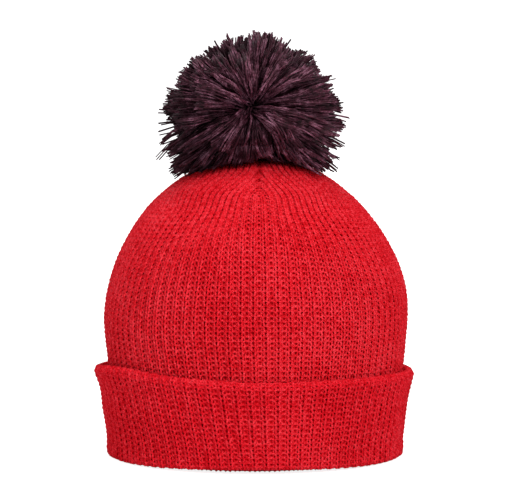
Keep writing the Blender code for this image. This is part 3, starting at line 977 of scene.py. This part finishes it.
def strand_tips(rng):
    """Each strand's direction and reach, and the tuft and yarn it belongs to.

    Tufts spread over the ball; each is a few cut yarns, and each yarn a few plies.
    """
    spiral = np.arange(TUFTS) + 0.5
    cosine = 1.0 - 2.0 * spiral / TUFTS
    sine = np.sqrt(1 - cosine ** 2)
    turn = math.pi * (1 + 5 ** 0.5) * spiral
    way = np.stack([sine * np.cos(turn), cosine, sine * np.sin(turn)], -1)
    way = unit(way + rng.normal(0, 0.085, way.shape))
    way = way[way[:, 2] > -0.95]
    x, y, z = way.T
    # no tips at the front end of the bundle's axis: strands part there
    # below the parting, short ends show nearer the middle
    pole = UPPER_POLE * np.where(z > 0, 1.0, 1.0 - 0.75 * smooth(-z, 0.0, 0.25))
    # and the back, cut round, has them almost all over
    pole = np.where(y > 0, math.radians(6.0), pole)
    polar = pole + polar_angle(way) * (math.pi / 2 - pole) / (math.pi / 2)
    ring = np.sqrt(x ** 2 + z ** 2) + 1e-9
    way = np.stack([x / ring * np.sin(polar), np.sign(y) * np.cos(polar),
                    z / ring * np.sin(polar)], -1)
    tufts = len(way)
    tuft_reach = 1.0 + rng.normal(0.0, 0.034, tufts)
    tuft = np.repeat(np.arange(tufts), YARNS_PER_TUFT)
    yarns = len(tuft)
    yarn_way = unit(way[tuft] + rng.normal(0, 1, (yarns, 3))
                    * rng.uniform(0.026, 0.050, tufts)[tuft][:, None])
    yarn_reach = tuft_reach[tuft] * (1.0 + rng.normal(0.0, 0.013, yarns))
    yarn = np.repeat(np.arange(yarns), PLIES_PER_YARN)
    tuft = tuft[yarn]
    count = len(yarn)
    direction = unit(yarn_way[yarn] + rng.normal(0, 1, (count, 3)) * 0.016)
    reach = pom_reach(direction) * yarn_reach[yarn] * (1.0 - np.abs(rng.normal(0, 0.012, count)))

    angle = np.radians(LOOSE[:, 0])
    loose_way = unit(np.stack([np.cos(angle), LOOSE[:, 1], np.sin(angle)], -1))
    extra = np.arange(len(LOOSE))
    return (np.concatenate([direction, loose_way]),
            np.concatenate([reach, POM_RX * LOOSE[:, 2]]),
            np.concatenate([tuft, extra]), np.concatenate([yarn, extra]))


def rim_sag(points, jitter):
    """How far points in front hang below the trimmed rim."""
    x, y, z = points[..., 0], points[..., 1], points[..., 2]
    short = np.clip(np.interp(x, *RIM.T) + jitter - (y * RIM_SLOPE + z), 0.0, None)
    return short * smooth(POM_CENTRE[1] - y, 0.004, 0.014)


def strand_curves(rng, direction, reach, tuft, yarn):
    """A strand leaves the tie along the bundle's axis, then turns outward."""
    count = len(direction)
    front = np.where(direction[:, 1] < 0, -1.0, 1.0)
    start = rng.normal(0, 0.0030, (count, 3)) * np.array([1, 0.6, 1])
    start[:, 1] += front * 0.004
    polar = polar_angle(direction)
    quarter = polar / (math.pi / 2)
    outward = np.clip((polar - UPPER_POLE) / (math.pi / 2 - UPPER_POLE), 0.0, 1.0)
    ahead = np.where(direction[:, 1] > 0, 0.64 * np.cos(polar) + 0.26 * (1.0 - quarter ** 4),
                     1.38 - 0.62 * outward - 0.70 * outward ** 5)
    ahead *= rng.uniform(0.70, 1.0, yarn.max() + 1)[yarn]
    side = 0.20 + 0.22 * quarter
    bend_point = POM_RY * np.stack([
        direction[:, 0] * side, front * ahead,
        direction[:, 2] * side + 0.13 * ahead * (front < 0)], -1)
    tip = direction * reach[:, None]
    # the front rim is trimmed in a shallow arch that clears the crown's top
    short = rim_sag(tip + POM_CENTRE, rng.normal(0, 0.0011, count))
    tip[:, 2] += short
    tip[:, 1] += 0.25 * short
    freedom = 1.0 + smooth(-direction[:, 2], 0.0, 0.4) * smooth(-direction[:, 1], 0.0, 0.6)
    freedom[-len(LOOSE):] = 0.35
    bend = rng.normal(0, 0.0032, (tuft.max() + 1, 3))[tuft] * freedom[:, None]
    bend += rng.normal(0, 0.0015, (yarn.max() + 1, 3))[yarn] * freedom[:, None]
    t = SHARES[None, :, None]
    points = (start[:, None, :] * (1 - t) ** 2 + bend_point[:, None, :] * 2 * t * (1 - t)
              + tip[:, None, :] * t ** 2)
    points += bend[:, None, :] * (t ** 2 * (1.25 - t) * 2.6)
    points += rng.normal(0, 0.00030, points.shape) * t
    return points + POM_CENTRE


def settle_strands(rng, points, yarn):
    """Trims strands to the rim, the ball's front and the crown, in place.

    Returns which strands to keep.
    """
    # nothing hangs below the trimmed rim in front
    sag = rim_sag(points, rng.normal(0, 0.0008, len(points))[:, None])
    points[..., 2] += 0.9 * sag
    points[..., 1] += 0.15 * sag
    tip = points[:, -1]
    under_front = (np.abs(tip[:, 0] - 0.013) < 0.010) & (tip[:, 1] < POM_CENTRE[1])
    kinked = sag.max(1) > np.where(under_front, 0.0120, 0.0060)
    # no bend carries a strand out past the front of the ball
    lower = smooth(POM_CENTRE[2] - points[..., 2], 0.006, 0.034)
    face = POM_CENTRE[1] - (0.86 - 0.22 * lower) * POM_RY
    past = np.clip(face - points[..., 1], 0.0, None)
    points[..., 1] = np.where(past > 0.0, face - 0.008 * (1.0 - np.exp(-past / 0.008)),
                              points[..., 1])
    # the crown holds the lowest strands up
    crown, ring = crown_height_at(points[..., 0], points[..., 1])
    gap = rng.uniform(0.0012, 0.0055, yarn.max() + 1)[yarn][:, None]
    rest = crown + gap * (0.3 + 0.7 * SHARES)
    lifted = (rest - points[..., 2])[:, -2:].max(1)
    hit = (points[..., 2] < rest) & (ring < HALF_X * 0.98)
    points[..., 2] = np.where(hit, rest, points[..., 2])
    # no strand is pushed far aside by the crown at its end
    pushed = (lifted > 0.006) & (np.hypot(tip[:, 0], tip[:, 1]) > 0.044)
    return ~pushed & ~kinked


def strand_tones(rng, direction, yarn):
    """A whole number from 0 to 15 per strand; lower is darker.

    It is random by yarn and strand, with painted shade on strands that point left and down.
    """
    tone = (0.65 * rng.uniform(0, 1, yarn.max() + 1)[yarn]
            + 0.35 * rng.uniform(0, 1, len(direction)))
    tone = np.clip(np.floor(16.0 * tone), 0, 15)
    # painted shade: strands that point left and down are darker
    shade = smooth(-direction[:, 0] * 0.8 - direction[:, 2], 0.15, 0.95)
    tone = np.clip(np.floor(tone * (1.0 - 0.55 * shade)), 0, 15)
    tone[-len(LOOSE):] = 2
    return tone


def strand_mesh(name, centre, normal, radius, tone):
    """Capped four-sided strands."""
    points, quads, yarn = tubes(centre, normal, radius, 4, False)
    index = np.arange(centre.shape[0] * centre.shape[1] * 4).reshape(*centre.shape[:2], 4)
    caps = np.concatenate([index[:, 0], index[:, -1][:, ::-1]])
    caps = turned(caps, points.reshape(-1, 3), 0, centre[0, 0] - centre[0, 1])
    yarn[..., 0] += tone[:, None, None]
    return make_mesh(name, points, np.concatenate([quads, caps]), POM, yarn=yarn)


def pom_core():
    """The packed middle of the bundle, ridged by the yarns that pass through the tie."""
    around, rings = 120, 60
    turn, polar = np.meshgrid(np.arange(around) / around * TAU,
                              (np.arange(rings) + 0.5) / rings * math.pi)
    ridge = (0.05 * np.cos(30.0 * turn) * np.sin(polar)
             + 0.03 * np.cos(13.0 * turn + 5.0 * polar))
    waist = 1.0 - 0.10 * np.exp(-((polar - math.pi / 2) / 0.16) ** 2)
    scale = (1.0 + ridge) * waist
    half_z = np.where(np.sin(turn) < 0.0, 0.0262, 0.0190)
    core = POM_CENTRE + np.stack([
        0.0205 * scale * np.sin(polar) * np.cos(turn), 0.0215 * scale * np.cos(polar),
        half_z * scale * np.sin(polar) * np.sin(turn)], -1)
    points = np.concatenate([core.reshape(-1, 3), core[[0, -1]].mean(1)])
    index = np.arange(around * rings).reshape(rings, around)
    quads = band_quads(index)
    quads = turned(quads, points, 0, points[quads[0, 0]] - POM_CENTRE)
    fans = []
    for centre, first, second in (
            (around * rings, np.roll(index[0], -1), index[0]),
            (around * rings + 1, index[-1], np.roll(index[-1], -1))):
        fan = np.stack([np.full(around, centre), first, second], -1)
        fans.append(turned(fan, points, 0, points[centre] - POM_CENTRE))
    # its material paints it nearly black, as painted shade inside the ball
    piece = make_mesh("pom_packed_core", points, quads, POM, tris=np.concatenate(fans))
    return piece, crown_clearance(points)


def resample(values, share):
    """Values of each strand at shares of its length."""
    position = share * (STRAND_POINTS - 1)
    step = np.clip(position.astype(int), 0, STRAND_POINTS - 2)
    part = position - step
    if values.ndim == 3:
        part = part[..., None]
    rows = np.arange(len(values))[:, None]
    return values[rows, step] * (1 - part) + values[rows, step + 1] * part


def build_pom():
    """Pieces of the pom pom, each with its part's name and its points' clearance."""
    rng = np.random.default_rng(5)
    direction, reach, tuft, yarn = strand_tips(rng)
    points = strand_curves(rng, direction, reach, tuft, yarn)
    keep = settle_strands(rng, points, yarn)
    clearance = crown_clearance(points)
    radius = rng.uniform(0.00038, 0.00052, len(points))[:, None] * (1.0 - 0.08 * SHARES ** 4)
    radius[-len(LOOSE):] = 0.00050
    normal = unit(np.cross(np.gradient(points, axis=1), rng.normal(0, 1, (len(points), 1, 3))))
    tone = strand_tones(rng, direction, yarn)
    skirt = (clearance[:, -3:].min(1) < SKIRT) & (direction[:, 2] < 0.05)
    pieces = [("ball", *pom_core())]

    ball = np.where(~skirt & keep)[0]
    turn = np.arctan2(direction[ball, 1], direction[ball, 0]) + math.pi
    sector = (turn / TAU * SECTORS).astype(int) % SECTORS
    for number in range(SECTORS):
        pick = ball[sector == number]
        piece = strand_mesh("pom_strands_%s" % "abcdef"[number], points[pick], normal[pick],
                            radius[pick], tone[pick])
        pieces.append(("ball", piece, np.repeat(clearance[pick].reshape(-1), 4)))

    # the lowest strands are made in two lengths: the upper near the tie,
    # the lower resting on the crown
    pick = np.where(skirt & keep)[0]
    points, normal, radius, clearance = (
        values[pick] for values in (points, normal, radius, clearance))
    fine = np.broadcast_to(np.linspace(0.0, 1.0, 64), (len(pick), 64))
    under = resample(clearance, fine) < SKIRT + 0.001
    cut = np.clip(np.where(under.any(1), under.argmax(1) / 63.0, 0.9), 0.10, 0.90)
    for part, name, start, end, count in (
            ("root", "pom_skirt_roots", np.zeros_like(cut), cut, 5),
            ("skirt", "pom_skirt_strands", cut, np.ones_like(cut), 6)):
        share = start[:, None] + (end - start)[:, None] * np.linspace(0.0, 1.0, count)
        piece = strand_mesh(name, resample(points, share), unit(resample(normal, share)),
                            resample(radius, share), tone[pick])
        pieces.append((part, piece, np.repeat(resample(clearance, share).reshape(-1), 4)))
    return pieces


# ---- Cords ----
CORD_PLIES = 3
CORD_STEP = 0.0005
CORD_SIDES = 6
TETHER_RADIUS = 0.0010


def twisted_cord(name, path, radius, closed=False, pitch=0.006):
    """A cord of plies laid round each other along a path of points."""
    if closed:
        path = np.concatenate([path, path[:1]])
    run = running_length(path)
    length = run[-1]
    count = max(int(length / CORD_STEP), 12)
    at = np.linspace(0, length, count, endpoint=not closed)
    centre = np.stack([np.interp(at, run, column) for column in path.T], -1)
    if closed:
        along = unit(np.roll(centre, -1, 0) - np.roll(centre, 1, 0))
    else:
        along = unit(np.gradient(centre, axis=0))
    aside = np.array([0.0, 1.0, 0.03] if abs(along[0, 1]) < 0.8 else [1.0, 0.02, 0.0])
    across = unit(np.cross(along, aside))
    normal = np.cross(across, along)
    turns = max(round(length / pitch), 1) if closed else length / pitch
    ply_radius = radius * 0.52
    plies = []
    for ply in range(CORD_PLIES):
        angle = (at / length * turns * TAU + TAU * ply / CORD_PLIES)[:, None]
        plies.append(centre + (np.cos(angle) * normal + np.sin(angle) * across)
                     * (radius - ply_radius))
    plies = np.stack(plies)
    points, quads, yarn = tubes(plies, np.broadcast_to(normal, plies.shape), ply_radius,
                                CORD_SIDES, closed)
    tris = None
    if not closed:
        index = np.arange(CORD_PLIES * count * CORD_SIDES).reshape(CORD_PLIES, count, CORD_SIDES)
        fans = []
        for ply in index:
            for end, order in ((ply[0], 1), (ply[-1], -1)):
                fan = np.array([[end[0], end[k], end[k + 1]] for k in range(1, CORD_SIDES - 1)])
                fans.append(fan[:, ::order])
        tris = np.concatenate(fans)
    return make_mesh(name, points, quads, TIE, tris=tris, yarn=yarn)


def ring_cord(name, source, flat_axis, points, **options):
    """A closed cord that fills a ring-shaped frame piece, thin along flat_axis (1 or 2)."""
    low, high = (np.array(corner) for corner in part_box(source))
    radius = (high[flat_axis] - low[flat_axis]) / 2
    ring = (high[0] - low[0]) / 2 - radius
    angle = np.linspace(0, TAU, points, endpoint=False)
    path = np.tile((low + high) / 2, (points, 1))
    path[:, 0] += ring * np.cos(angle)
    path[:, 3 - flat_axis] += ring * np.sin(angle)
    return twisted_cord(name, path, radius, closed=True, **options)


def build_tether():
    """The tether follows the frame's cord, smoothed along its height."""
    points = node_points("tether_cord")
    points = points[np.argsort(points[:, 2])]
    high = np.linspace(points[0, 2], points[-1, 2], 40)
    sides = [np.convolve(np.pad(points[:, axis], 6, "edge"), np.ones(13) / 13, "valid")
             for axis in (0, 1)]
    path = np.stack([*(np.interp(high, points[:, 2], side) for side in sides), high], -1)
    return twisted_cord("pom_tether_cord", path, TETHER_RADIUS)


# ---- Assembly ----
def place(pieces, body, slot, replaced):
    """Fixes pieces to a body; the first one replaces a frame piece."""
    for piece in pieces:
        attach(piece, body)
    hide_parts(replaced)


def blend(piece):
    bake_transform(piece)


def place_backing():
    """The fabric behind runs on into the cuff's lower fold: its last row is set down there."""
    # the sheet's dark colour is painted shade in the knit's gaps
    rows, per_wale = 120, 3
    behind = shell_sheet("body_knit_behind_shade", backing_depths, RED_BACK_SHADE, per_wale, rows)
    points = np.empty(2 * rows * REPEATS * per_wale * 3)
    behind.data.vertices.foreach_get("co", points)
    sides = points.reshape(2, rows, REPEATS * per_wale, 3)
    for side, drop in zip(sides, (0.0, 0.0003)):
        ring = side[0]
        azimuth = np.arctan2(ring[:, 1] / DEPTH_RATIO, ring[:, 0])
        z = 0.0034 - drop
        radius = float(low_radius(z)) + float(cuff_offset(z)) + 0.0006
        ring[:, 0] = radius * np.cos(azimuth) + CUFF_SHIFT_X
        ring[:, 1] = radius * DEPTH_RATIO * np.sin(azimuth)
        ring[:, 2] = z
    behind.data.vertices.foreach_set("co", points)
    behind.data.update()
    weights = np.zeros(sides.shape[:3])
    weights[:, 0] = 1.0
    blend(behind)


def place_pom():
    pieces = build_pom()
    for part, piece, clearance in pieces:
        blend(piece)
    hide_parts("pom_yarn")


place(build_body(), "hat", "shell_knit", "outer_shell")
place_backing()
place([shell_sheet("lining_rib_knit", lining_depths, RED_LINING, 6, LINING_ROWS)],
      "hat", "lining_knit", "inner_lining")
place(build_cuff(), "cuff", "cuff_knit", "cuff_outer_layer")
place([build_cuff_inside()], "cuff", "cuff_inside_knit", "cuff_inner_layer")
place_pom()
place([ring_cord("pom_tie_cord", "pom_binding", 1, 96)], "pom", "tie_cord", "pom_binding")
place([build_tether()], "tether", "tie_cord", "tether_cord")
place([ring_cord("anchor_knot_cord", "anchor_knot", 2, 64, pitch=0.0045)],
      "tether", "tie_cord", "anchor_knot")

# sewn chains keep their CAD shape
for name, piece in frame["nodes"].items():
    if "seam" in name:
        piece.data.materials.clear()
        piece.data.materials.append(SEAM)


# ---- Floor, light and camera ----
def floor_material():
    material = bpy.data.materials.new("pale_floor")
    material.use_nodes = True
    tree = material.node_tree
    shader = tree.nodes["Principled BSDF"]
    shader.inputs["Base Color"].default_value = (0.93, 0.93, 0.93, 1)
    shader.inputs["Roughness"].default_value = 0.9
    shader.inputs["Specular IOR Level"].default_value = 0.1
    shader.inputs["Emission Color"].default_value = (1, 1, 1, 1)
    # only the camera sees the floor's glow, so it lends the hat no light
    camera_ray = add_node(tree, "ShaderNodeLightPath", {}).outputs["Is Camera Ray"]
    glow = add_math(tree, "MULTIPLY", camera_ray, 0.86)
    tree.links.new(glow, shader.inputs["Emission Strength"])
    tint = add_node(tree, "ShaderNodeMapRange", {
        "Value": camera_ray, "To Min": 0.82, "To Max": 0.93})
    tree.links.new(tint.outputs[0], shader.inputs["Base Color"])
    return material


def build_floor():
    material = floor_material()
    bpy.ops.mesh.primitive_plane_add(size=40.0, location=(0, 0, -0.0006))
    floor = bpy.context.object
    floor.name = "floor"
    floor.data.materials.append(material)
    # the floor stays under the lowest edge as the cuff comes down
    floor.parent = frame["bodies"]["cuff"]


def build_world():
    """White to the camera; the light it gives grows from below to above."""
    world = bpy.data.worlds.new("pale_room")
    bpy.context.scene.world = world
    world.use_nodes = True
    tree = world.node_tree
    tree.nodes.clear()
    white = (1, 1, 1, 1)
    camera_ray = add_node(tree, "ShaderNodeLightPath", {}).outputs["Is Camera Ray"]
    seen = add_node(tree, "ShaderNodeBackground", {0: white, 1: 1.15})
    coords = add_node(tree, "ShaderNodeTexCoord", {})
    parts = add_node(tree, "ShaderNodeSeparateXYZ", {0: coords.outputs["Generated"]})
    strength = add_node(tree, "ShaderNodeMapRange", {
        "Value": parts.outputs["Z"], "From Min": -0.3, "From Max": 1.0,
        "To Min": 0.20, "To Max": 0.44})
    lit = add_node(tree, "ShaderNodeBackground", {0: white, 1: strength.outputs[0]})
    mix = add_node(tree, "ShaderNodeMixShader", {
        0: camera_ray, 1: lit.outputs[0], 2: seen.outputs[0]})
    add_node(tree, "ShaderNodeOutputWorld", {0: mix.outputs[0]})


LIGHT_TARGET = Vector((0.0, 0.0, 0.12))


def softbox(name, location, size, power):
    """A square area light aimed at the hat."""
    light = bpy.data.lights.new(name, "AREA")
    light.shape = "RECTANGLE"
    light.size = size
    light.size_y = size
    light.energy = power
    lamp = bpy.data.objects.new(name, light)
    lamp.location = location
    lamp.rotation_mode = "QUATERNION"
    lamp.rotation_quaternion = (LIGHT_TARGET - Vector(location)).to_track_quat("-Z", "Y")
    bpy.context.scene.collection.objects.link(lamp)


def build_camera(elevation, view_width, lens, sensor=36.0):
    """A long lens in front of the hat, raised by the elevation."""
    data = bpy.data.cameras.new("camera")
    data.lens = lens
    data.sensor_width = sensor
    data.sensor_fit = "HORIZONTAL"
    data.clip_start = 0.5
    data.clip_end = 100.0
    camera = bpy.data.objects.new("camera", data)
    bpy.context.scene.collection.objects.link(camera)
    bpy.context.scene.camera = camera
    back = Vector((0.0, -math.cos(elevation), math.sin(elevation)))
    up = Vector((0.0, math.sin(elevation), math.cos(elevation)))
    aim = Vector((-0.0019, 0.0, 0.0)) + up * 0.1175
    camera.location = aim + back * (view_width * lens / sensor)
    camera.rotation_mode = "QUATERNION"
    camera.rotation_quaternion = (-back).to_track_quat("-Z", "Y")


build_floor()
build_world()
softbox("key_softbox", location=(0.36, -1.10, 0.82), size=0.8, power=11.0)
softbox("fill_softbox", location=(-0.75, -1.0, 0.35), size=0.9, power=3.0)
softbox("rear_softbox", location=(-0.25, 1.25, 0.75), size=1.0, power=4.0)
softbox("top_softbox", location=(0.05, 0.1, 1.3), size=0.9, power=5.0)
build_camera(elevation=math.radians(6.7), view_width=0.2929, lens=900.0)

view = bpy.context.scene.view_settings
view.view_transform = "Standard"
view.look = "None"
view.exposure = 0.0
view.gamma = 1.0
